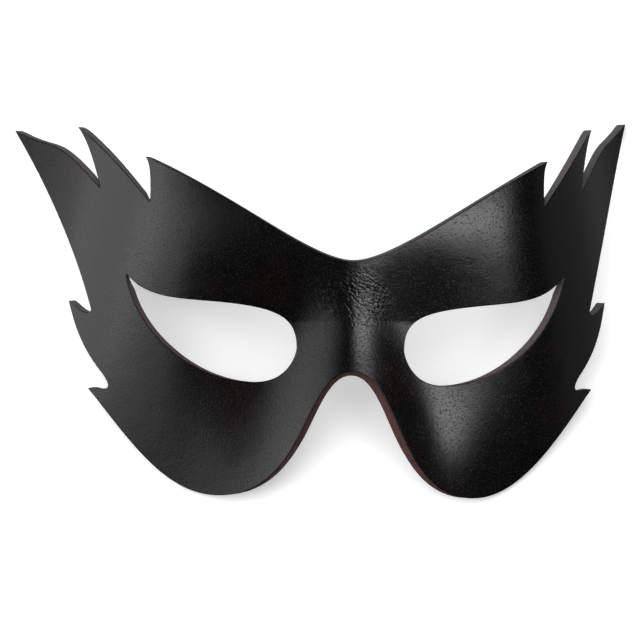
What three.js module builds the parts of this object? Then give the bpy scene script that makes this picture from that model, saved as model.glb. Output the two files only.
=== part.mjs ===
// A moulded leather eye mask whose sides are cut into flame-like points. Millimetres, +Z up.
// It lies face up, on its two longest points and on the lower edges of its cheeks.
//
// The mask is drawn on the plane of the face: x runs out from the middle of the nose,
// y up the forehead from the eye line, and height comes out of the face.

import * as THREE from 'three';
import { mergeVertices } from 'three/addons/utils/BufferGeometryUtils.js';

// The hide
const LEATHER = 2.8; // thickness

// How far the back stands out past the face where the knife leaned over, under the outer eye,
// down the nose arch, over the brow and on the upper sides of the points
const EYE_SLANT = 1;
const ARCH_SLANT = 1.3;
const BROW_SLANT = 0.5;
const POINT_SLANT = 0.6;

// How the wet hide is formed. Slopes are a drop in height for each millimetre outwards, but
// the face's own is a rise for each millimetre up the forehead, and its curves are radii.
const FACE_CURVE = { slope: 0.086, upright: 588, across: 1470 };
const TEMPLE_BEND = { at: 60.2, slope: 0.31, soft: 5.7 };
const WING_BEND = { at: 93.5, slope: 1.64, soft: 6.8, lean: 0.2 };
const BROW_SWELL = { height: 3.5, x: 23.7, y: 35, wide: 37.8, tall: 31.9 };
const CHEEK_SWELL = { height: 1.5, x: 42.2, y: -39.7, wide: 13.3, tall: 29.9 };
const NOSE_RIDGE = { height: 2.3, rise: 0.22, wide: 15.5, splay: 0.33, top: 30, rootLength: 20, soft: 6 };

// Corners of the right half of the cut, from the middle of the brow round to the nose arch.
// A lip is the lower side of a notch.
const BROW_DIP = { x: 0, y: 20.7 };
const BROW_POINT = { x: 70.9, y: 56.4 };
const BROW_NOTCH = { x: 69.3, y: 40.6 };
const MIDDLE_POINT = { x: 91.3, y: 67.7 };
const MIDDLE_NOTCH = { x: 84.8, y: 45.5 };
const LONG_POINT = { x: 109.8, y: 68.9 };
const SIDE_NOTCH = { x: 88.1, y: 4 };
const SIDE_LIP = { x: 89.2, y: 2.9 };
const SIDE_POINT = { x: 94.9, y: 7.3 };
const CHEEK_NOTCH = { x: 84.5, y: -18 };
const CHEEK_LIP = { x: 85.2, y: -23.5 };
const CHEEK_POINT = { x: 89, y: -23.2 };
const LOBE_BOTTOM = { x: 45.1, y: -60.5 };
const ARCH_TOP = { x: 0, y: -17.1 };

// Corners of the right eye hole, from its pointed outer corner over the lid and back underneath
const EYE_CORNER = { x: 77, y: 16.1 };
const EYE_LID = { x: 46.7, y: 6.2 };
const EYE_INNER = { x: 18.9, y: -9.6 };
const EYE_BOTTOM = { x: 33.3, y: -21.4 };
const LID_SLOPE = 0.09;

// How finely the hide is meshed
const EDGE_STEP = 2.6;
const FACE_STEP = 3.1;
const EDGE_CLEARANCE = 0.6; // share of a step kept free along the cut

// A fold that starts where `past` is zero, rounded over `soft`
function fold(past, soft) {
  return soft * Math.log1p(Math.exp(past / soft));
}

// A pair of swellings, one on either side, that die away over their width and height
function swells(x, y, { height, x: midX, y: midY, wide, tall }) {
  const right = Math.exp(-(((x - midX) / wide) ** 2));
  const left = Math.exp(-(((x + midX) / wide) ** 2));
  return height * (right + left) * Math.exp(-(((y - midY) / tall) ** 2));
}

// Height of the ridge along the middle of the nose, which stands out more towards its tip
function noseRidge(x, y) {
  const { height, rise, wide, splay, top, rootLength, soft } = NOSE_RIDGE;
  const grown = height + rise * fold(top - rootLength - y, soft);
  const started = 1 / (1 + Math.exp((y - top) / soft));
  const width = wide + splay * Math.max(-y, 0);
  return grown * started * Math.exp(-((x / width) ** 2));
}

// Height of the hide's outer face over the plane of the face
function faceHeight(x, y) {
  const out = Math.abs(x);
  const wingSlope = WING_BEND.slope - TEMPLE_BEND.slope;
  return (
    FACE_CURVE.slope * y -
    (y * y) / (2 * FACE_CURVE.upright) -
    (x * x) / (2 * FACE_CURVE.across) -
    TEMPLE_BEND.slope * fold(out - TEMPLE_BEND.at, TEMPLE_BEND.soft) -
    wingSlope * fold(out - WING_BEND.at + WING_BEND.lean * y, WING_BEND.soft) +
    swells(x, y, BROW_SWELL) +
    swells(x, y, CHEEK_SWELL) +
    noseRidge(x, y)
  );
}

// The outer face at a place on the plan, and the direction square to the hide there
function outerFace(x, y) {
  const probe = 1e-3;
  const slopeX = (faceHeight(x + probe, y) - faceHeight(x - probe, y)) / (2 * probe);
  const slopeY = (faceHeight(x, y + probe) - faceHeight(x, y - probe)) / (2 * probe);
  return {
    point: new THREE.Vector3(x, y, faceHeight(x, y)),
    normal: new THREE.Vector3(-slopeX, -slopeY, 1).normalize(),
  };
}

// A place part of the way along the line between two corners, and off to its left by a share
// of the line's length
function beside(from, to, along, out) {
  const [dx, dy] = [to.x - from.x, to.y - from.y];
  return { x: from.x + along * dx - out * dy, y: from.y + along * dy + out * dx };
}

// A place straight out from a corner, a share of the way across to another, level or sloping
function across(from, to, share, slope = 0) {
  const reach = share * (to.x - from.x);
  return { x: from.x + reach, y: from.y + slope * reach };
}

// A place straight up or down from a corner, a share of the way to another
function upright(from, to, share) {
  return { x: from.x, y: from.y + share * (to.y - from.y) };
}

// Each stretch of a cut runs from its first place to its last, drawn towards those between.
// Its slant is given at its start and from its middle on.
// The right half of the mask: brow, brow point, middle point, long point, side point, cheek
// point, cheek, lobe with the side of the nose arch, and back up the middle of the nose.
const HALF_CUT = [
  {
    slants: [BROW_SLANT, BROW_SLANT],
    places: [
      BROW_DIP,
      across(BROW_DIP, BROW_POINT, 0.213),
      beside(BROW_DIP, BROW_POINT, 0.535, 0.012),
      BROW_POINT,
    ],
  },
  {
    slants: [0, 0],
    places: [
      BROW_POINT,
      beside(BROW_POINT, BROW_NOTCH, 0.045, -0.151),
      BROW_NOTCH,
    ],
  },
  {
    slants: [POINT_SLANT, POINT_SLANT],
    places: [
      BROW_NOTCH,
      beside(BROW_NOTCH, MIDDLE_POINT, 0.795, 0.029),
      MIDDLE_POINT,
    ],
  },
  {
    slants: [0, 0],
    places: [
      MIDDLE_POINT,
      beside(MIDDLE_POINT, MIDDLE_NOTCH, 0.047, -0.109),
      MIDDLE_NOTCH,
    ],
  },
  {
    slants: [POINT_SLANT, POINT_SLANT],
    places: [
      MIDDLE_NOTCH,
      beside(MIDDLE_NOTCH, LONG_POINT, 0.772, 0.158),
      beside(MIDDLE_NOTCH, LONG_POINT, 0.504, 0.045),
      LONG_POINT,
    ],
  },
  {
    slants: [0, 0],
    places: [
      LONG_POINT,
      beside(LONG_POINT, SIDE_NOTCH, 0.57, -0.04),
      SIDE_NOTCH,
    ],
  },
  { slants: [0, 0], places: [SIDE_NOTCH, beside(SIDE_NOTCH, SIDE_LIP, 0.249, -0.503), SIDE_LIP] },
  {
    slants: [POINT_SLANT, POINT_SLANT],
    places: [
      SIDE_LIP,
      beside(SIDE_LIP, SIDE_POINT, 0.183, -0.179),
      SIDE_POINT,
    ],
  },
  {
    slants: [0, 0],
    places: [
      SIDE_POINT,
      beside(SIDE_POINT, CHEEK_NOTCH, 0.438, 0.101),
      beside(SIDE_POINT, CHEEK_NOTCH, 0.732, 0.07),
      CHEEK_NOTCH,
    ],
  },
  {
    slants: [0, 0],
    places: [
      CHEEK_NOTCH,
      beside(CHEEK_NOTCH, CHEEK_LIP, 1.039, -0.956),
      CHEEK_LIP,
    ],
  },
  { slants: [0, 0], places: [CHEEK_LIP, beside(CHEEK_LIP, CHEEK_POINT, 0.48, 0.13), CHEEK_POINT] },
  {
    slants: [0, 0],
    places: [
      CHEEK_POINT,
      beside(CHEEK_POINT, LOBE_BOTTOM, 0.344, 0.072),
      across(LOBE_BOTTOM, CHEEK_POINT, 0.411),
      LOBE_BOTTOM,
    ],
  },
  {
    slants: [0, ARCH_SLANT],
    places: [
      LOBE_BOTTOM,
      across(LOBE_BOTTOM, ARCH_TOP, 0.663),
      across(ARCH_TOP, LOBE_BOTTOM, 0.387),
      ARCH_TOP,
    ],
  },
  { slants: [ARCH_SLANT, 0], places: [ARCH_TOP, upright(ARCH_TOP, BROW_DIP, 0.5), BROW_DIP] },
];

// The right eye hole: outer lid, inner lid, inner corner and underside
const EYE_CUT = [
  {
    slants: [EYE_SLANT, 0],
    places: [
      EYE_CORNER,
      beside(EYE_CORNER, EYE_LID, 0.3, 0.18),
      across(EYE_LID, EYE_CORNER, 0.505, LID_SLOPE),
      EYE_LID,
    ],
  },
  {
    slants: [0, 0],
    places: [
      EYE_LID,
      across(EYE_LID, EYE_INNER, 0.812, LID_SLOPE),
      upright(EYE_INNER, EYE_LID, 0.658),
      EYE_INNER,
    ],
  },
  {
    slants: [0, 0],
    places: [
      EYE_INNER,
      upright(EYE_INNER, EYE_BOTTOM, 0.05),
      across(EYE_BOTTOM, EYE_INNER, 0.87),
      EYE_BOTTOM,
    ],
  },
  {
    slants: [0, EYE_SLANT],
    places: [
      EYE_BOTTOM,
      across(EYE_BOTTOM, EYE_CORNER, 0.458),
      beside(EYE_BOTTOM, EYE_CORNER, 0.711, -0.247),
      EYE_CORNER,
    ],
  },
];

function curveOf(places) {
  const points = places.map(({ x, y }) => new THREE.Vector2(x, y));
  const Curve = points.length === 3 ? THREE.QuadraticBezierCurve : THREE.CubicBezierCurve;
  return new Curve(...points);
}

// Points at even steps round a closed cut, each corner once, with the slant as a third number
function ringOf(cut) {
  return cut.flatMap(({ slants: [start, rest], places }) => {
    const curve = curveOf(places);
    const steps = Math.max(2, Math.round(curve.getLength() / EDGE_STEP));
    const points = curve.getSpacedPoints(steps).slice(0, -1);
    return points.map(({ x, y }, i) => {
      const slant = start + (rest - start) * Math.min(1, (2 * i) / steps);
      return new THREE.Vector3(x, y, slant);
    });
  });
}

// The even-odd rule over every ring at once
function insideRings(rings, { x, y }) {
  let inside = false;
  for (const ring of rings) {
    ring.forEach((a, i) => {
      const b = ring[(i + 1) % ring.length];
      const crosses = a.y > y !== b.y > y;
      if (crosses && x < a.x + ((y - a.y) * (b.x - a.x)) / (b.y - a.y)) inside = !inside;
    });
  }
  return inside;
}

// A honeycomb of points inside the rings, kept clear of the cut
function facePoints(rings) {
  const rim = rings.flat();
  const bounds = new THREE.Box3().setFromPoints(rim);
  const rowStep = (FACE_STEP * Math.sqrt(3)) / 2;
  const points = [];
  let row = 0;
  for (let y = bounds.min.y; y < bounds.max.y; y += rowStep) {
    row += 1;
    const start = (row % 2 ? 0.5 : 1) * FACE_STEP;
    for (let x = start; x < bounds.max.x; x += FACE_STEP) {
      const point = new THREE.Vector3(x, y, 0);
      const clear = rim.every((rimPoint) => {
        return Math.hypot(rimPoint.x - x, rimPoint.y - y) > EDGE_CLEARANCE * FACE_STEP;
      });
      if (clear && insideRings(rings, point)) points.push(point);
    }
  }
  return points;
}

// A triangle of three point numbers, anticlockwise, with the circle through its corners
function circled(points, a, b, c) {
  const [p, q, r] = [points[a], points[b], points[c]];
  const turn = (q.x - p.x) * (r.y - p.y) - (q.y - p.y) * (r.x - p.x);
  const qq = (q.x - p.x) ** 2 + (q.y - p.y) ** 2;
  const rr = (r.x - p.x) ** 2 + (r.y - p.y) ** 2;
  const dx = ((r.y - p.y) * qq - (q.y - p.y) * rr) / (2 * turn);
  const dy = ((q.x - p.x) * rr - (r.x - p.x) * qq) / (2 * turn);
  const corners = turn > 0 ? [a, b, c] : [a, c, b];
  return { corners, x: p.x + dx, y: p.y + dy, reach: dx * dx + dy * dy };
}

const sidesOf = ([a, b, c]) => [[a, b], [b, c], [c, a]];
const sideKey = (a, b) => (a < b ? `${a} ${b}` : `${b} ${a}`);

// Delaunay triangles: each new point clears the circles that hold it and closes the gap anew
function triangulate(points) {
  const far = 1e4;
  const frame = [[-far, -far], [far, -far], [0, far]].map(([x, y]) => new THREE.Vector3(x, y, 0));
  const all = [...points, ...frame];
  const count = points.length;
  let triangles = [circled(all, count, count + 1, count + 2)];
  points.forEach((point, number) => {
    const gap = new Map();
    triangles = triangles.filter(({ corners, x, y, reach }) => {
      if ((point.x - x) ** 2 + (point.y - y) ** 2 > reach) return true;
      for (const [a, b] of sidesOf(corners)) {
        const key = sideKey(a, b);
        if (gap.has(key)) gap.delete(key);
        else gap.set(key, [a, b]);
      }
      return false;
    });
    for (const [a, b] of gap.values()) triangles.push(circled(all, a, b, number));
  });
  return triangles.map(({ corners }) => corners).filter((corners) => Math.max(...corners) < count);
}

// The half mask as triangles on the plan. Where a piece of the cut is not a side of any
// triangle, it is halved and the triangles are made again.
function meshHalf() {
  const rings = [ringOf(HALF_CUT), ringOf(EYE_CUT)];
  const inner = facePoints(rings);
  for (;;) {
    const points = [...rings.flat(), ...inner];
    const triangles = triangulate(points);
    const sides = new Set(triangles.flatMap(sidesOf).map(([a, b]) => sideKey(a, b)));
    let first = 0;
    let whole = true;
    rings.forEach((ring, number) => {
      const mended = [];
      ring.forEach((point, i) => {
        const next = (i + 1) % ring.length;
        mended.push(point);
        if (sides.has(sideKey(first + i, first + next))) return;
        mended.push(point.clone().add(ring[next]).multiplyScalar(0.5));
        whole = false;
      });
      first += ring.length;
      rings[number] = mended;
    });
    if (whole) {
      const middle = ([a, b, c]) => points[a].clone().add(points[b]).add(points[c]).divideScalar(3);
      const kept = triangles.filter((corners) => insideRings(rings, middle(corners)));
      return { points, triangles: kept, rings };
    }
  }
}

// Where the back of the hide lies under each plan point: past the face by the slant along the
// cut, where the leather is on the right of the ring's run. The middle of the nose stays put.
function backPlan({ points, rings }) {
  const plan = points.map(({ x, y }) => new THREE.Vector2(x, y));
  let first = 0;
  for (const ring of rings) {
    ring.forEach(({ x, z: slant }, i) => {
      const before = ring[(i + ring.length - 1) % ring.length];
      const after = ring[(i + 1) % ring.length];
      const out = new THREE.Vector2(before.y - after.y, after.x - before.x);
      if (x === 0) out.set(0, Math.sign(after.x - before.x));
      plan[first + i].addScaledVector(out.normalize(), slant);
    });
    first += ring.length;
  }
  return plan;
}

// Both halves, front, back and cut edge, as one closed skin
function maskGeometry() {
  const half = meshHalf();
  const { points, triangles } = half;
  const front = points.map(({ x, y }) => outerFace(x, y).point);
  const back = backPlan(half).map(({ x, y }) => {
    const { point, normal } = outerFace(x, y);
    if (x === 0) normal.setX(0).normalize();
    return point.addScaledVector(normal, -LEATHER);
  });

  const faces = [];
  for (const [a, b, c] of triangles) {
    faces.push([front[a], front[b], front[c]], [back[a], back[c], back[b]]);
  }
  const uses = new Map();
  for (const side of triangles.flatMap(sidesOf)) {
    const key = sideKey(...side);
    uses.set(key, uses.has(key) ? null : side);
  }
  for (const [a, b] of [...uses.values()].filter(Boolean)) {
    if (points[a].x === 0 && points[b].x === 0) continue;
    faces.push([front[b], front[a], back[a]], [front[b], back[a], back[b]]);
  }

  const right = faces.flat().flatMap(({ x, y, z }) => [x, y, z]);
  const left = faces.flatMap(([a, b, c]) => [a, c, b]).flatMap(({ x, y, z }) => [-x, y, z]);
  const geometry = new THREE.BufferGeometry();
  geometry.setAttribute('position', new THREE.Float32BufferAttribute([...right, ...left], 3));
  const welded = mergeVertices(geometry);
  welded.computeVertexNormals();
  return welded;
}

// The turn about X that the mask takes as it settles on a table. Seen from the side, it
// comes to rest on the stretch of its lower outline that lies below its middle.
function restingTurn(geometry) {
  const places = geometry.getAttribute('position');
  const side = [];
  for (let i = 0; i < places.count; i += 1) side.push([places.getY(i), places.getZ(i)]);
  side.sort((a, b) => a[0] - b[0] || a[1] - b[1]);
  const middle = side.reduce((sum, [y]) => sum + y, 0) / side.length;
  const under = [];
  for (const [y, z] of side) {
    while (under.length > 1) {
      const [[y0, z0], [y1, z1]] = under.slice(-2);
      if ((y1 - y0) * (z - z0) - (z1 - z0) * (y - y0) > 0) break;
      under.pop();
    }
    under.push([y, z]);
  }
  const last = under.findIndex(([y]) => y > middle);
  const [[y0, z0], [y1, z1]] = [under[last - 1], under[last]];
  return -Math.atan2(z1 - z0, y1 - y0);
}

function leatherMask() {
  const leather = new THREE.MeshStandardMaterial({ color: 0x0d0c0c, roughness: 0.42, metalness: 0 });
  const mask = new THREE.Mesh(maskGeometry(), leather);
  mask.name = 'leather_mask';
  mask.rotation.x = restingTurn(mask.geometry);
  const box = new THREE.Box3().setFromObject(mask, true);
  const middle = box.getCenter(new THREE.Vector3());
  mask.position.set(-middle.x, -middle.y, -box.min.z);
  return mask;
}

const model = new THREE.Group();
model.add(leatherMask());

export default model;
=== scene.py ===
import math

import bpy
import numpy as np
from mathutils import Matrix, Vector
from mathutils.geometry import delaunay_2d_cdt


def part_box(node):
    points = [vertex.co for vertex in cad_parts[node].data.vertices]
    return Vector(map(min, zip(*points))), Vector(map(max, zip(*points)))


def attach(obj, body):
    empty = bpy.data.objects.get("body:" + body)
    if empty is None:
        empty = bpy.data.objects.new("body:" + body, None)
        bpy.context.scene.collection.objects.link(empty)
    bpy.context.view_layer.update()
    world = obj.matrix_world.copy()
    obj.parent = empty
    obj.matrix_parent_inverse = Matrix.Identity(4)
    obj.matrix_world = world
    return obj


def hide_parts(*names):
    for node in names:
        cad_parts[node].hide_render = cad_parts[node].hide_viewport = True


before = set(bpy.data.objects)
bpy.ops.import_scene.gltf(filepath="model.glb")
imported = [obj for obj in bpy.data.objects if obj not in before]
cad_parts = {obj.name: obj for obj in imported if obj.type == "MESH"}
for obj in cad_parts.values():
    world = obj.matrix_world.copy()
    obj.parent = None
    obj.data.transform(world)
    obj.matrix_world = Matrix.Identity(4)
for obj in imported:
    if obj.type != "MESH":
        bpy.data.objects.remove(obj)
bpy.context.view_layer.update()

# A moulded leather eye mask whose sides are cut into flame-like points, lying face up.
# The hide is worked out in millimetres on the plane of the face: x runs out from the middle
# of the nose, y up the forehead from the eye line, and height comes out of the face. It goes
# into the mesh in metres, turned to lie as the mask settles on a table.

MM = 0.001

# The hide
LEATHER = 2.8

# How far the back stands out past the face where the knife leaned over, under the outer eye,
# down the nose arch, over the brow and on the upper sides of the points
EYE_SLANT = 1
ARCH_SLANT = 1.3
BROW_SLANT = 0.5
POINT_SLANT = 0.6

# How the wet hide is formed. Slopes are a drop in height for each millimetre outwards, but
# the face's own is a rise for each millimetre up the forehead, and its curves are radii.
FACE_CURVE = dict(slope=0.086, upright=588, across=1470)
TEMPLE_BEND = dict(at=60.2, slope=0.31, soft=5.7)
WING_BEND = dict(at=93.5, slope=1.64, soft=6.8, lean=0.2)
BROW_SWELL = dict(height=3.5, x=23.7, y=35, wide=37.8, tall=31.9)
CHEEK_SWELL = dict(height=1.5, x=42.2, y=-39.7, wide=13.3, tall=29.9)
NOSE_RIDGE = dict(height=2.3, rise=0.22, wide=15.5, splay=0.33, top=30, root_length=20, soft=6)

# Corners of the right half of the cut, from the middle of the brow round to the nose arch.
# A lip is the lower side of a notch.
BROW_DIP = (0, 20.7)
BROW_POINT = (70.9, 56.4)
BROW_NOTCH = (69.3, 40.6)
MIDDLE_POINT = (91.3, 67.7)
MIDDLE_NOTCH = (84.8, 45.5)
LONG_POINT = (109.8, 68.9)
SIDE_NOTCH = (88.1, 4)
SIDE_LIP = (89.2, 2.9)
SIDE_POINT = (94.9, 7.3)
CHEEK_NOTCH = (84.5, -18)
CHEEK_LIP = (85.2, -23.5)
CHEEK_POINT = (89, -23.2)
LOBE_BOTTOM = (45.1, -60.5)
ARCH_TOP = (0, -17.1)

# Corners of the right eye hole, from its pointed outer corner over the lid and back underneath
EYE_CORNER = (77, 16.1)
EYE_LID = (46.7, 6.2)
EYE_INNER = (18.9, -9.6)
EYE_BOTTOM = (33.3, -21.4)
LID_SLOPE = 0.09

# The knife's edges, worn round: the outer one, the back one, and the corners of the plan
FRONT_ARRIS = 0.22
BACK_ARRIS = 0.2
CORNER_WEAR = 0.2

# How far along a cut its slant and wear take to change
SLANT_CHANGE = 1.2

# Room is half the width of the leather at a tip, or of the gap in a notch, up to the widest
# that is looked for. An arris takes at most its share of the one, and a slant of the other.
ARRIS_SHARE = 0.25
SLANT_SHARE = 0.7
WIDEST_ROOM = 2
NEAR_POINTS = 3

# How the hand-cut mask differs between its sides: its middle is turned a little, and the two
# longest points are pulled by so much, fading over a reach
MIDDLE_TURN = dict(turn=0.026, reach=60)
POINT_PULLS = [
    dict(at=LONG_POINT, pull=(1.2, 2.2), reach=14),
    dict(at=(-LONG_POINT[0], LONG_POINT[1]), pull=(0.5, -1.9), reach=14),
]

# Where the hide wrinkled as it was stretched over the bridge of the nose
BRIDGE_WRINKLES = dict(height=1, x=5, y=8, wide=9, tall=9)

# How finely the visible hide is meshed
EDGE_STEP = 0.45
FINE_STEP = EDGE_STEP / 4  # before the corners are worn round
FRONT_STEP = 0.7
BACK_STEP = 1.2
RIM_GAP = 0.6  # share of a step kept free along the rims
STRETCH_POINTS = 200
ARRIS_ROWS = 3
WALL_ROWS = 5
FACE_ROW = 1.4  # how far inside the cut the face's own rim lies, in front arrises
PROBE = 1e-3  # for slopes of the face
SETTLING_STEPS = 20


# Form of the hide

def fold(past, soft):
    """A fold that starts where past is zero, rounded over soft: soft times the log of one plus
    e to the power past over soft."""
    return soft * np.logaddexp(0, past / soft)


def swells(x, y, form):
    """A pair of swellings, one on either side: the height at each middle, falling as e to the
    minus of the squared distance in widths and heights."""
    right = np.exp(-(((x - form["x"]) / form["wide"]) ** 2))
    left = np.exp(-(((x + form["x"]) / form["wide"]) ** 2))
    return form["height"] * (right + left) * np.exp(-(((y - form["y"]) / form["tall"]) ** 2))


def nose_ridge(x, y):
    """The ridge along the middle of the nose: a bell across it, wider and taller towards the
    tip, that starts softly at its top."""
    form = NOSE_RIDGE
    past_root = form["top"] - form["root_length"] - y
    grown = form["height"] + form["rise"] * fold(past_root, form["soft"])
    started = 1 / (1 + np.exp((y - form["top"]) / form["soft"]))
    width = form["wide"] + form["splay"] * np.maximum(-y, 0)
    return grown * started * np.exp(-((x / width) ** 2))


def face_height(x, y):
    """Height of the outer face over the plane of the face: a slope and two faint curves, less
    the bends at temple and wing, plus brows, cheeks and nose."""
    out = np.abs(x)
    wing_slope = WING_BEND["slope"] - TEMPLE_BEND["slope"]
    past_wing = out - WING_BEND["at"] + WING_BEND["lean"] * y
    return (
        FACE_CURVE["slope"] * y
        - y ** 2 / (2 * FACE_CURVE["upright"])
        - x ** 2 / (2 * FACE_CURVE["across"])
        - TEMPLE_BEND["slope"] * fold(out - TEMPLE_BEND["at"], TEMPLE_BEND["soft"])
        - wing_slope * fold(past_wing, WING_BEND["soft"])
        + swells(x, y, BROW_SWELL)
        + swells(x, y, CHEEK_SWELL)
        + nose_ridge(x, y)
    )


def hide_at(plan, depth):
    """Places in the hide under a plan: the outer face, less depth along the way square to it,
    which is minus the slopes by x and by y, and one, made a unit long."""
    x, y = plan.T
    slope_x = (face_height(x + PROBE, y) - face_height(x - PROBE, y)) / (2 * PROBE)
    slope_y = (face_height(x, y + PROBE) - face_height(x, y - PROBE)) / (2 * PROBE)
    square = np.c_[-slope_x, -slope_y, np.ones_like(x)]
    square /= np.linalg.norm(square, axis=1, keepdims=True)
    return np.c_[x, y, face_height(x, y)] - square * np.reshape(depth, (-1, 1))


def uneven(plan):
    """Plan places as the hand-cut mask has them: x times the turn down, by a bell of x over
    its reach, and each pull by a bell of the distance from its place."""
    x = plan[:, 0]
    down = MIDDLE_TURN["turn"] * x * np.exp(-((x / MIDDLE_TURN["reach"]) ** 2))
    moved = plan - np.c_[0 * x, down]
    for tip in POINT_PULLS:
        near = np.exp(-((plan - tip["at"]) ** 2).sum(1) / tip["reach"] ** 2)
        moved += near[:, None] * tip["pull"]
    return moved


# The cuts

def beside(start, end, along, out):
    """A place part of the way along the line between two corners, and off to its left by a
    share of the line's length."""
    dx, dy = end[0] - start[0], end[1] - start[1]
    return start[0] + along * dx - out * dy, start[1] + along * dy + out * dx


def across(start, end, share, slope=0.0):
    """A place straight out from a corner, a share of the way across to another."""
    reach = share * (end[0] - start[0])
    return start[0] + reach, start[1] + slope * reach


def upright(start, end, share):
    """A place straight up or down from a corner, a share of the way to another."""
    return start[0], start[1] + share * (end[1] - start[1])


# Kinds of cut edge: how far the back stands out at the start of a stretch and from its middle
# on, and how far the dye is worn to red-brown
PLAIN_EDGE = (0, 0, 0)
BROW_EDGE = (BROW_SLANT, BROW_SLANT, 0.2)
POINT_EDGE = (POINT_SLANT, POINT_SLANT, 0)
ARCH_EDGE = (0, ARCH_SLANT, 1)
LID_EDGE = (EYE_SLANT, 0, 0)
EYE_EDGE = (0, EYE_SLANT, 0.4)

# The stretches of the right half of the outline and of the right eye hole, each with its kind
# of edge and the places that it is drawn from
HALF_CUT = [
    (
        BROW_EDGE,
        [
            BROW_DIP,
            across(BROW_DIP, BROW_POINT, 0.213),
            beside(BROW_DIP, BROW_POINT, 0.535, 0.012),
            BROW_POINT,
        ],
    ),
    (PLAIN_EDGE, [BROW_POINT, beside(BROW_POINT, BROW_NOTCH, 0.127, -0.126), BROW_NOTCH]),
    (POINT_EDGE, [BROW_NOTCH, beside(BROW_NOTCH, MIDDLE_POINT, 0.795, 0.029), MIDDLE_POINT]),
    (PLAIN_EDGE, [MIDDLE_POINT, beside(MIDDLE_POINT, MIDDLE_NOTCH, 0.215, -0.072), MIDDLE_NOTCH]),
    (
        POINT_EDGE,
        [
            MIDDLE_NOTCH,
            beside(MIDDLE_NOTCH, LONG_POINT, 0.772, 0.158),
            beside(MIDDLE_NOTCH, LONG_POINT, 0.504, 0.045),
            LONG_POINT,
        ],
    ),
    (PLAIN_EDGE, [LONG_POINT, beside(LONG_POINT, SIDE_NOTCH, 0.57, -0.04), SIDE_NOTCH]),
    (PLAIN_EDGE, [SIDE_NOTCH, beside(SIDE_NOTCH, SIDE_LIP, 0.249, -0.503), SIDE_LIP]),
    (POINT_EDGE, [SIDE_LIP, beside(SIDE_LIP, SIDE_POINT, 0.183, -0.179), SIDE_POINT]),
    (
        PLAIN_EDGE,
        [
            SIDE_POINT,
            beside(SIDE_POINT, CHEEK_NOTCH, 0.438, 0.101),
            beside(SIDE_POINT, CHEEK_NOTCH, 0.732, 0.07),
            CHEEK_NOTCH,
        ],
    ),
    (PLAIN_EDGE, [CHEEK_NOTCH, beside(CHEEK_NOTCH, CHEEK_LIP, 1.039, -0.956), CHEEK_LIP]),
    (PLAIN_EDGE, [CHEEK_LIP, beside(CHEEK_LIP, CHEEK_POINT, 0.48, 0.13), CHEEK_POINT]),
    (
        PLAIN_EDGE,
        [
            CHEEK_POINT,
            beside(CHEEK_POINT, LOBE_BOTTOM, 0.344, 0.072),
            across(LOBE_BOTTOM, CHEEK_POINT, 0.411),
            LOBE_BOTTOM,
        ],
    ),
    (
        ARCH_EDGE,
        [
            LOBE_BOTTOM,
            across(LOBE_BOTTOM, ARCH_TOP, 0.663),
            across(ARCH_TOP, LOBE_BOTTOM, 0.387),
            ARCH_TOP,
        ],
    ),
]
EYE_CUT = [
    (
        LID_EDGE,
        [
            EYE_CORNER,
            beside(EYE_CORNER, EYE_LID, 0.3, 0.18),
            across(EYE_LID, EYE_CORNER, 0.505, LID_SLOPE),
            EYE_LID,
        ],
    ),
    (
        PLAIN_EDGE,
        [
            EYE_LID,
            across(EYE_LID, EYE_INNER, 0.812, LID_SLOPE),
            upright(EYE_INNER, EYE_LID, 0.658),
            EYE_INNER,
        ],
    ),
    (
        PLAIN_EDGE,
        [
            EYE_INNER,
            upright(EYE_INNER, EYE_BOTTOM, 0.05),
            across(EYE_BOTTOM, EYE_INNER, 0.87),
            EYE_BOTTOM,
        ],
    ),
    (
        EYE_EDGE,
        [
            EYE_BOTTOM,
            across(EYE_BOTTOM, EYE_CORNER, 0.458),
            beside(EYE_BOTTOM, EYE_CORNER, 0.711, -0.247),
            EYE_CORNER,
        ],
    ),
]


def drawn(stretch):
    """A stretch of a cut from its first place to its last, drawn towards those between: each
    place counts by its binomial number times powers of t and of one minus t. Beside the plan
    place, each row gives the slant, which has changed by the middle, and the wear."""
    (start, rest, worn), places = stretch
    t = np.linspace(0, 1, STRETCH_POINTS, endpoint=False)
    last = len(places) - 1
    weights = [math.comb(last, k) * (1 - t) ** (last - k) * t ** k for k in range(last + 1)]
    plan = np.array(weights).T @ np.array(places)
    slant = start + (rest - start) * np.minimum(1, 2 * t)
    return np.c_[plan, slant, np.full(len(t), worn)]


def evenly(line, step):
    """The same closed line with its points an even step apart along it."""
    closed = np.vstack([line, line[:1]])
    run = np.append(0, np.hypot(*np.diff(closed[:, :2], axis=0).T).cumsum())
    at = np.linspace(0, run[-1], round(run[-1] / step), endpoint=False)
    return np.stack([np.interp(at, run, column) for column in closed.T], axis=1)


def averaged(values, wear, step):
    """Values round a closed line, each averaged with its neighbours under a bell as wide as
    the wear."""
    reach = math.ceil(3 * wear / step)
    shifts = range(-reach, reach + 1)
    weights = np.exp(-0.5 * (np.arange(-reach, reach + 1) * step / wear) ** 2)
    return sum(w * np.roll(values, s, axis=0) for w, s in zip(weights / weights.sum(), shifts))


def cut_line(line):
    """A closed cut with even points, its corners worn round and its slant changing softly."""
    fine = evenly(line, FINE_STEP)
    plan = averaged(fine[:, :2], CORNER_WEAR, FINE_STEP)
    kind = averaged(fine[:, 2:], SLANT_CHANGE, FINE_STEP)
    return evenly(np.c_[plan, kind], EDGE_STEP)


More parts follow.
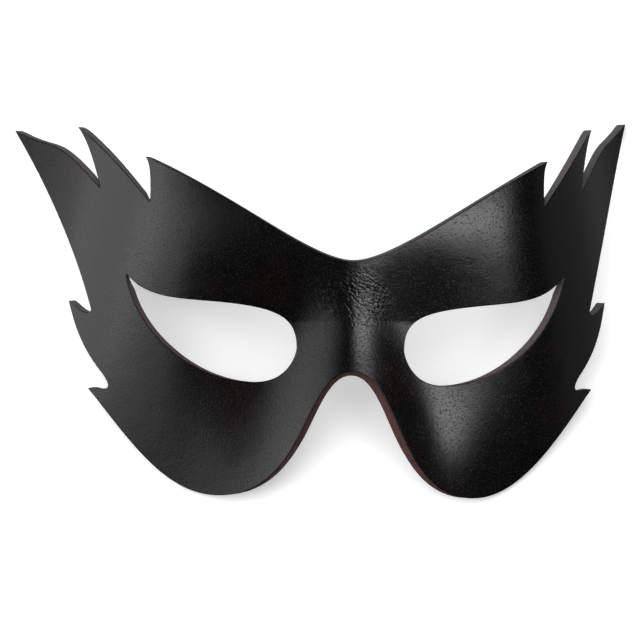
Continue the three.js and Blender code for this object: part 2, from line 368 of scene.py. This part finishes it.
def cut_lines():
    """The outline and both eye holes. The leather lies to the right of each line's run, and
    the left side is the right one mirrored and run backwards."""
    arch_top = [[*ARCH_TOP, ARCH_SLANT, ARCH_EDGE[2]]]
    half = np.vstack([drawn(stretch) for stretch in HALF_CUT] + [arch_top])
    right_eye = np.vstack([drawn(stretch) for stretch in EYE_CUT])
    outline = np.vstack([half, half[-2:0:-1] * (-1, 1, 1, 1)])
    return [cut_line(line) for line in (outline, right_eye, right_eye[::-1] * (-1, 1, 1, 1))]


def into_leather(line):
    """The way into the leather at each point of a cut: its run turned a quarter to the right."""
    run = np.roll(line, -1, axis=0) - np.roll(line, 1, axis=0)
    run /= np.linalg.norm(run, axis=1, keepdims=True)
    return np.c_[run[:, 1], -run[:, 0]]


def room_beside(line, way):
    """The radius of the widest circle on one side of a cut that touches it at each point: the
    least of squared distance over twice its part that way, to every other point ahead. The
    least of these within a few points is averaged, so it is nowhere too wide."""
    hardly = 1e-6
    apart = line[None] - line[:, None]
    ahead = (apart * way[:, None]).sum(-1)
    radius = (apart ** 2).sum(-1) / (2 * np.maximum(ahead, hardly))
    room = np.minimum(np.where(ahead > hardly, radius, np.inf).min(1), WIDEST_ROOM)
    shifts = range(-NEAR_POINTS, NEAR_POINTS + 1)
    lowest = np.min([np.roll(room, shift) for shift in shifts], axis=0)
    return averaged(lowest, EDGE_STEP, EDGE_STEP)


def edge_rows(line):
    """Rows of plan places, depths and shares of cut edge, from the face just inside the front
    arris, down the cut and round the back arris. Each arris is a quarter circle no larger
    than the leather's width there allows, and the slant no more than the gap's."""
    line, slant = line[:, :2], line[:, 2]
    inward = into_leather(line)
    room = room_beside(line, inward)
    slant = np.minimum(slant, SLANT_SHARE * room_beside(line, -inward))
    front = np.minimum(FRONT_ARRIS, ARRIS_SHARE * room)
    back = np.minimum(BACK_ARRIS, ARRIS_SHARE * room)
    quarter = np.linspace(0, math.pi / 2, ARRIS_ROWS + 1)
    rows = [(FACE_ROW * front, 0 * front, 0)]
    for a in quarter:
        rows.append((front * (1 - math.sin(a)), front * (1 - math.cos(a)), math.sin(a / 2)))
    for share in np.linspace(0, 1, WALL_ROWS + 1)[1:-1]:
        rows.append((0 * front, front + share * (LEATHER - front - back), 1))
    for a in quarter:
        rows.append((back * (1 - math.cos(a)), LEATHER - back * (1 - math.sin(a)), math.cos(a)))
    return [
        (line + inward * (inset - slant * depth / LEATHER)[:, None], depth, cut)
        for inset, depth, cut in rows
    ]


def inside_rims(plan, rims):
    """Where plan places lie in the leather: their level line crosses the rims an odd number of
    times to their right."""
    inside = np.zeros(len(plan), bool)
    x, y = plan.T
    for rim in rims:
        for a, b in zip(rim, np.roll(rim, -1, axis=0)):
            spans = (a[1] > y) != (b[1] > y)
            inside[spans] ^= x[spans] < a[0] + (y[spans] - a[1]) * (b[0] - a[0]) / (b[1] - a[1])
    return inside


def clear_of_rims(plan, rims, gap):
    """Where plan places are at least a gap away from every point of the rims."""
    clear = np.ones(len(plan), bool)
    for point in np.vstack(rims):
        near = np.abs(plan - point).max(1) < gap
        clear[near] &= ((plan[near] - point) ** 2).sum(1) > gap ** 2
    return clear


def sheet_of(rims, step):
    """Triangles over the plan between closed rims, on a honeycomb of points a step apart."""
    lines = np.vstack(rims)
    low, high = lines.min(0), lines.max(0)
    row_step = step * math.sqrt(3) / 2
    x, y = np.meshgrid(np.arange(low[0], high[0], step), np.arange(low[1], high[1], row_step))
    x[1::2] += step / 2
    comb = np.c_[x.ravel(), y.ravel()]
    comb = comb[inside_rims(comb, rims)]
    comb = comb[clear_of_rims(comb, rims, RIM_GAP * step)]
    number = np.split(np.arange(len(lines)), np.cumsum([len(rim) for rim in rims])[:-1])
    sides = np.vstack([np.c_[run, np.roll(run, -1)] for run in number])
    places = [Vector(place) for place in np.vstack([lines, comb]).tolist()]
    made = delaunay_2d_cdt(places, sides.tolist(), [], 0, 1e-7, False)
    plan, faces = np.array([tuple(place) for place in made[0]]), np.array(made[2])
    return plan, faces[inside_rims(plan[faces].mean(1), rims)]


def quads_between(upper, lower, count):
    """Two triangles between each pair of neighbours on two rows that run the same way."""
    number = np.arange(count)
    after = np.roll(number, -1)
    one = np.c_[upper + number, upper + after, lower + number]
    two = np.c_[upper + after, lower + after, lower + number]
    return np.vstack([one, two])


def hide():
    """The whole hide as points in millimetres, triangles, and for each point its depth in the
    hide, how far it is on the cut edge, how worn that edge is and how near the bridge."""
    lines = cut_lines()
    cuts = [edge_rows(line) for line in lines]
    front_plan, front_faces = sheet_of([rows[0][0] for rows in cuts], FRONT_STEP)
    back_plan, back_faces = sheet_of([rows[-1][0] for rows in cuts], BACK_STEP)
    rim_worn = np.hstack([line[:, 3] for line in lines])
    plans = [front_plan, back_plan]
    depths = [np.zeros(len(front_plan)), np.full(len(back_plan), LEATHER)]
    on_cut = [np.zeros(len(front_plan)), np.zeros(len(back_plan))]
    worn = [np.append(rim_worn, np.zeros(len(plan) - len(rim_worn))) for plan in plans]
    faces = [front_faces, len(front_plan) + back_faces[:, ::-1]]
    placed = len(front_plan) + len(back_plan)
    rim_start = 0
    for line, rows in zip(lines, cuts):
        count = len(line)
        starts = [rim_start]
        for plan, depth, cut in rows[1:-1]:
            plans.append(plan)
            depths.append(depth)
            on_cut.append(np.full(count, cut))
            worn.append(line[:, 3])
            starts.append(placed)
            placed += count
        starts.append(len(front_plan) + rim_start)
        faces += [quads_between(a, b, count) for a, b in zip(starts, starts[1:])]
        rim_start += count
    plan, depth = np.vstack(plans), np.hstack(depths)
    looks = {
        "depth": depth / LEATHER,
        "on_cut": np.hstack(on_cut),
        "worn": np.hstack(worn),
        "bridge": swells(*plan.T, BRIDGE_WRINKLES),
    }
    return hide_at(uneven(plan), depth), np.vstack(faces), looks


# How the mask lies

def resting_turn(points):
    """The turn about X as the mask settles: the slope, with its sign changed, of the stretch
    of its lower outline, seen from the side, that lies below its middle."""
    middle = points[:, 1].mean()
    fore = points[points[:, 1] < middle]
    rear = points[points[:, 1] >= middle]
    touch_fore, touch_rear = fore[fore[:, 2].argmin()], rear[rear[:, 2].argmin()]
    for _ in range(SETTLING_STEPS):
        run, rise = touch_rear[1:] - touch_fore[1:]
        over = (points[:, 2] - touch_fore[2]) * run - (points[:, 1] - touch_fore[1]) * rise
        ahead = np.where(points[:, 1] < middle, over, np.inf)
        behind = np.where(points[:, 1] >= middle, over, np.inf)
        touch_fore, touch_rear = points[ahead.argmin()], points[behind.argmin()]
    return -math.atan2(touch_rear[2] - touch_fore[2], touch_rear[1] - touch_fore[1])


def lying(points):
    """The way from the plane of the face to the table: the resting turn, then the middle of
    the mask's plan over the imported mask's, and its lowest point on the table."""
    turn = Matrix.Rotation(resting_turn(points), 4, "X")
    turned = points @ np.array(turn.to_3x3()).T
    low, high = turned.min(0), turned.max(0)
    packed_low, packed_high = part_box("leather_mask")
    middle = (packed_low + packed_high) / 2 - Vector((low + high) / 2) * MM
    return Matrix.Translation((middle.x, middle.y, packed_low.z - low[2] * MM)) @ turn


# Finishes

DYE_DEEP = (0.0006, 0.0005, 0.0005, 1)
DYE_THIN = (0.0012, 0.0010, 0.0011, 1)
DYE_BROWN = (0.0028, 0.0010, 0.0009, 1)
EDGE_GREY = (0.074, 0.071, 0.071, 1)
EDGE_RUST = (0.058, 0.021, 0.019, 1)
EDGE_DARK = (0.022, 0.012, 0.011, 1)
BACK_DARK = (0.012, 0.010, 0.010, 1)
BACK_FIBRE = (0.035, 0.028, 0.026, 1)

# Sizes in the leather, in millimetres across
PEBBLE = 0.54
PORE = 0.5
FIBRE = 0.25
FLECK = 1.3
CLOUD = 9.0
BROAD_CLOUD = 30.0
WRINKLE = 0.85
BORDER_WANDER = 1.2

# Wrinkles run down and to the right, and are so much longer than wide
WRINKLE_TURN = math.radians(48)
WRINKLE_STRETCH = 3.5

# Heights in the leather, in millimetres
PEBBLE_HEIGHT = 0.012
PORE_HEIGHT = 0.008
WRINKLE_HEIGHT = 0.06
FIBRE_HEIGHT = 0.06
CLOUD_HEIGHT = 0.08

SATIN_ROUGHNESS = 0.17
RAW_ROUGHNESS = 0.85


class Socket:
    """A node's output that takes part in sums, so that a finish reads as arithmetic."""

    def __init__(self, tree, output):
        self.tree = tree
        self.output = output

    def node(self, kind, settings=None, outlet=0, **inputs):
        """Adds a node of a kind, with its settings first and then the values or links of its
        sockets, by name or, after an underscore, by number, and returns its outlet."""
        made = self.tree.nodes.new("ShaderNode" + kind)
        for name, value in (settings or {}).items():
            setattr(made, name, value)
        for name, value in inputs.items():
            key = int(name[1:]) if name[0] == "_" else name
            if isinstance(value, Socket):
                self.tree.links.new(value.output, made.inputs[key])
            else:
                made.inputs[key].default_value = value
        return Socket(self.tree, made.outputs[outlet])

    def maths(self, operation, first, second):
        """A sum of two values, numbers or sockets."""
        return self.node("Math", {"operation": operation}, _0=first, _1=second)

    def __add__(self, other):
        return self.maths("ADD", self, other)

    def __sub__(self, other):
        return self.maths("SUBTRACT", self, other)

    def __rsub__(self, other):
        return self.maths("SUBTRACT", other, self)

    def __mul__(self, other):
        return self.maths("MULTIPLY", self, other)

    def __pow__(self, other):
        return self.maths("POWER", self, other)

    __radd__ = __add__
    __rmul__ = __mul__

    def between(self, low, high):
        """0 below low, 1 above high and a smooth rise between."""
        smooth = {"interpolation_type": "SMOOTHSTEP"}
        return self.node("MapRange", smooth, _0=self, _1=low, _2=high, _3=0.0, _4=1.0)

    def noise(self, size, detail=2.0, roughness=0.5):
        """Cloudy noise from 0 to 1 whose blobs are about a size in millimetres."""
        scale = 1 / (size * MM)
        return self.node("TexNoise", Vector=self, Scale=scale, Detail=detail, Roughness=roughness)

    def mixed(self, first, second):
        """A colour that goes from the first to the second as this value goes from 0 to 1."""
        return self.node("Mix", {"data_type": "RGBA"}, outlet=2, Factor=self, _6=first, _7=second)


def black_leather():
    """Black dyed grain leather with a satin finish: a fine pebble grain, wrinkles stretched
    over the bridge of the nose, soft cloudy gloss, raw cut edges that are dark grey, but
    red-brown where they are worn, and a dark fibrous back."""
    material = bpy.data.materials.new("black_leather")
    material.use_nodes = True
    tree = material.node_tree
    shader = tree.nodes["Principled BSDF"]
    start = Socket(tree, None)
    place = start.node("TexCoord", outlet="Object")
    on_cut, depth, worn, bridge = [
        start.node("Attribute", {"attribute_name": name}, outlet="Fac")
        for name in ("on_cut", "depth", "worn", "bridge")
    ]

    # Where the surface is grain, cut edge or flesh side, with an uneven border
    wander = place.noise(BORDER_WANDER, 3.0) - 0.5
    cut = (on_cut + wander * 0.35).between(0.45, 0.8)
    flesh = (depth + wander * 0.1).between(0.93, 0.99)
    grain_side = (1 - cut) * (1 - flesh)

    # Pebble grain: domes that meet in fine creases
    off_middle = start.node("TexVoronoi", Vector=place, Scale=1 / (PEBBLE * MM))
    dome = 1 - (off_middle * 1.4) ** 2
    pores = place.noise(PORE, 2.0, 0.6)
    cloud = place.noise(CLOUD, 3.0, 0.55)
    broad = place.noise(BROAD_CLOUD, 2.0)
    drawn_out = start.node(
        "Mapping",
        {"vector_type": "TEXTURE"},
        Vector=place,
        Rotation=(0, 0, WRINKLE_TURN),
        Scale=(1, WRINKLE_STRETCH, 1),
    )
    wrinkle = drawn_out.noise(WRINKLE, 1.0).between(0.3, 0.7) * bridge.between(0.1, 0.9)

    # Raw fibres on the cut edge and the flesh side
    fibre = place.noise(FIBRE, 4.0, 0.65)
    flecks = place.noise(FLECK, 3.0, 0.6).between(0.5, 0.68)

    dye = (cloud * 0.6 + dome * 0.4).mixed(DYE_DEEP, DYE_THIN)
    dye = broad.between(0.5, 0.7).mixed(dye, DYE_BROWN)
    grey_edge = (flecks * 0.6).mixed(EDGE_GREY, EDGE_RUST)
    red_edge = (flecks * 0.6 + fibre * 0.5).between(0.2, 0.8).mixed(EDGE_RUST, EDGE_DARK)
    raw = worn.mixed(grey_edge, red_edge)
    back = fibre.mixed(BACK_DARK, BACK_FIBRE)
    colour = cut.mixed(flesh.mixed(dye, back), raw)

    uneven_gloss = (1 - dome) * 0.1 + (cloud - 0.5) * 0.08 + (broad - 0.5) * 0.04
    satin = SATIN_ROUGHNESS + uneven_gloss
    roughness = satin * grain_side + (1 - grain_side) * RAW_ROUGHNESS

    grain = dome * PEBBLE_HEIGHT + pores * PORE_HEIGHT + wrinkle * WRINKLE_HEIGHT
    height = grain * grain_side + fibre * (1 - grain_side) * FIBRE_HEIGHT
    fine = start.node("Bump", Strength=1.0, Distance=MM, Height=height)
    slow = start.node("Bump", Strength=1.0, Distance=CLOUD_HEIGHT * MM, Height=cloud, Normal=fine)
    tree.links.new(colour.output, shader.inputs["Base Color"])
    tree.links.new(roughness.output, shader.inputs["Roughness"])
    tree.links.new(slow.output, shader.inputs["Normal"])
    return material


# The mask

def make_mask():
    """The hide as one piece with its finish and the attributes that the finish reads, in place
    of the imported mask. Returns the way from the plane of the face to the table."""
    points, faces, looks = hide()
    to_table = lying(points)
    placed = points * MM @ np.array(to_table.to_3x3()).T + np.array(to_table.translation)
    mesh = bpy.data.meshes.new("moulded_hide")
    mesh.from_pydata(placed, [], faces.tolist())
    for name, values in looks.items():
        mesh.attributes.new(name, "FLOAT", "POINT").data.foreach_set("value", values)
    mesh.polygons.foreach_set("use_smooth", np.ones(len(faces), bool))
    mesh.materials.append(black_leather())
    mask = bpy.data.objects.new("moulded_hide", mesh)
    bpy.context.scene.collection.objects.link(mask)
    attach(mask, "root")
    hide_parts("leather_mask")
    return to_table


# The camera: its turn to the left of the face, its distance from the nose at the eye line, how
# wide the picture is there, how far it is moved along the picture, and its roll
VIEW_TURN = math.radians(10)
VIEW_DISTANCE = 2200
PICTURE_ACROSS = 220.8
VIEW_SHIFT = (-10.2, 0.65)
VIEW_ROLL = math.radians(0.11)
SENSOR = 36
CLIP_END = 20

# The studio. Lengths are in metres, and a lamp's are from the mask.
FLOOR_HALF = 6.0
FLOOR_COLOUR = (0.85, 0.85, 0.85, 1)
FLOOR_GLOW = 0.35
LAMP_DISTANCE = 2.5
FLOOR_LAMP_DISTANCE = 3.0
ROOM_LIGHT = 0.004
WHITE = (1, 1, 1, 1)


def make_camera(to_table):
    """A long lens turned to the left of the face, moved a little so that the mask sits in the
    picture as in the photograph."""
    camera = bpy.data.objects.new("camera", bpy.data.cameras.new("camera"))
    bpy.context.scene.collection.objects.link(camera)
    camera.data.sensor_width = SENSOR
    camera.data.lens = SENSOR * VIEW_DISTANCE / PICTURE_ACROSS
    camera.data.clip_end = CLIP_END
    across = Vector((math.cos(VIEW_TURN), 0, math.sin(VIEW_TURN)))
    forehead = Vector((0, 1, 0))
    right = across * math.cos(VIEW_ROLL) + forehead * math.sin(VIEW_ROLL)
    up = forehead * math.cos(VIEW_ROLL) - across * math.sin(VIEW_ROLL)
    back = Vector((-math.sin(VIEW_TURN), 0, math.cos(VIEW_TURN)))
    place = back * VIEW_DISTANCE + across * VIEW_SHIFT[0] + forehead * VIEW_SHIFT[1]
    turn = Matrix((right, up, back)).transposed().to_4x4()
    camera.matrix_world = to_table @ Matrix.Translation(place * MM) @ turn
    bpy.context.scene.camera = camera


def make_floor():
    """A plain pale floor. The black leather doesn't mirror it, and it lets the low ends of the
    side lights past."""
    mesh = bpy.data.meshes.new("floor")
    corners = [(FLOOR_HALF * x, FLOOR_HALF * y, 0) for x, y in ((-1, -1), (1, -1), (1, 1), (-1, 1))]
    mesh.from_pydata(corners, [], [(0, 1, 2, 3)])
    material = bpy.data.materials.new("pale_floor")
    material.use_nodes = True
    shader = material.node_tree.nodes["Principled BSDF"]
    shader.inputs["Base Color"].default_value = FLOOR_COLOUR
    shader.inputs["Roughness"].default_value = 0.9
    shader.inputs["Specular IOR Level"].default_value = 0.0
    shader.inputs["Emission Color"].default_value = WHITE
    shader.inputs["Emission Strength"].default_value = FLOOR_GLOW
    mesh.materials.append(material)
    floor = bpy.data.objects.new("floor", mesh)
    bpy.context.scene.collection.objects.link(floor)
    floor.visible_glossy = False
    floor.visible_shadow = False


def softbox(name, to_table, sideways, upward, radiance, distance=LAMP_DISTANCE, glossy=True):
    """A soft lamp that faces the mask. It fills a range of degrees sideways and a range
    upwards, counted from straight over the face."""
    light = bpy.data.lights.new(name, "AREA")
    light.shape = "RECTANGLE"
    half_turns = [math.radians(high - low) / 2 for low, high in (sideways, upward)]
    light.size, light.size_y = [2 * distance * math.tan(half) for half in half_turns]
    light.energy = radiance * math.pi * light.size * light.size_y
    lamp = bpy.data.objects.new(name, light)
    bpy.context.scene.collection.objects.link(lamp)
    lamp.visible_camera = False
    lamp.visible_glossy = glossy
    across = Matrix.Rotation(math.radians(sum(sideways) / 2), 4, "Y")
    tilt = Matrix.Rotation(math.radians(-sum(upward) / 2), 4, "X")
    lamp.matrix_world = to_table @ across @ tilt @ Matrix.Translation((0, 0, distance))


def light_studio(to_table):
    """A wide soft box on the left whose middle and inner rim are brighter, a small one right
    of the camera, a faint glow on the far right, and a light from the upper left that only
    lifts the floor and shows in no gloss."""
    softbox("left_softbox", to_table, (-114, -19), (-25, 28), 1.0)
    softbox("left_softbox_middle", to_table, (-100, -33), (-12, 24), 1.1)
    softbox("left_softbox_rim", to_table, (-52, -8), (-6, 6), 0.75)
    softbox("right_softbox", to_table, (15, 36), (-6, 5), 6.5)
    softbox("side_glow", to_table, (58, 130), (-45, 45), 0.24)
    softbox("floor_light", to_table, (-66, 10), (-4, 64), 2.4, FLOOR_LAMP_DISTANCE, glossy=False)
    world = bpy.data.worlds.new("studio")
    bpy.context.scene.world = world
    world.use_nodes = True
    background = world.node_tree.nodes["Background"]
    background.inputs["Color"].default_value = WHITE
    background.inputs["Strength"].default_value = ROOM_LIGHT


to_table = make_mask()
make_camera(to_table)
make_floor()
light_studio(to_table)
bpy.context.scene.view_settings.view_transform = "Standard"
